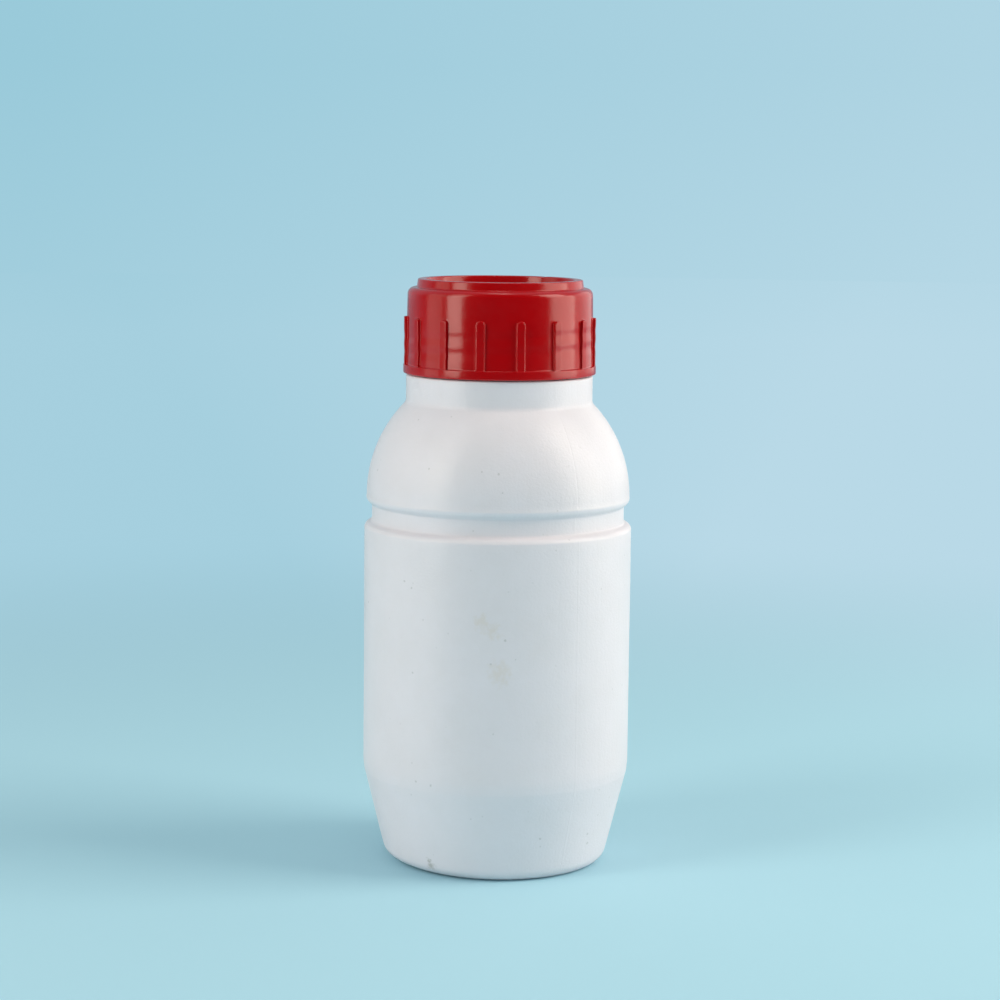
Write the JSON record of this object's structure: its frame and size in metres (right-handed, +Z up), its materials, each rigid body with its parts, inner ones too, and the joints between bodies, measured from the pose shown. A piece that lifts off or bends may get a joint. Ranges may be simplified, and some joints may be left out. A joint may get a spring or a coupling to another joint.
{
  "type": "round plastic bottle with screw cap",
  "caption": "Round white plastic bottle with a domed shoulder, a grip groove, a tapered foot and a wide ribbed red screw cap.",
  "frame": {"origin": "middle of the base, on the plane that the bottle stands on", "axes": "+Z up along the bottle's axis, -Y towards the front, +X to the right seen from the front"},
  "size_m": [0.0746, 0.0746, 0.163],
  "materials": {
    "bottle_white": "satin white polyethylene",
    "cap_red": "gloss red polypropylene",
    "liner_foam": "matt white foamed polyethylene"
  },
  "bodies": {
    "bottle": {"bottle": "bottle_white"},
    "liner": {"liner": "liner_foam"},
    "cap": {"cap": "cap_red"}
  },
  "joints": [
    {"name": "cap_rise", "type": "slide", "parent": "bottle", "child": "liner", "axis": [0, 0, 1], "range_m": [0, 0.0254]},
    {"name": "cap_turn", "type": "hinge", "parent": "liner", "child": "cap", "pos_m": [0, 0, 0.15], "axis": [0, 0, 1], "range_deg": [0, 2160]}
  ],
  "couplings": [
    {"joint": "cap_rise", "follows": "cap_turn", "m_per_rad": 0.0006737}
  ]
}
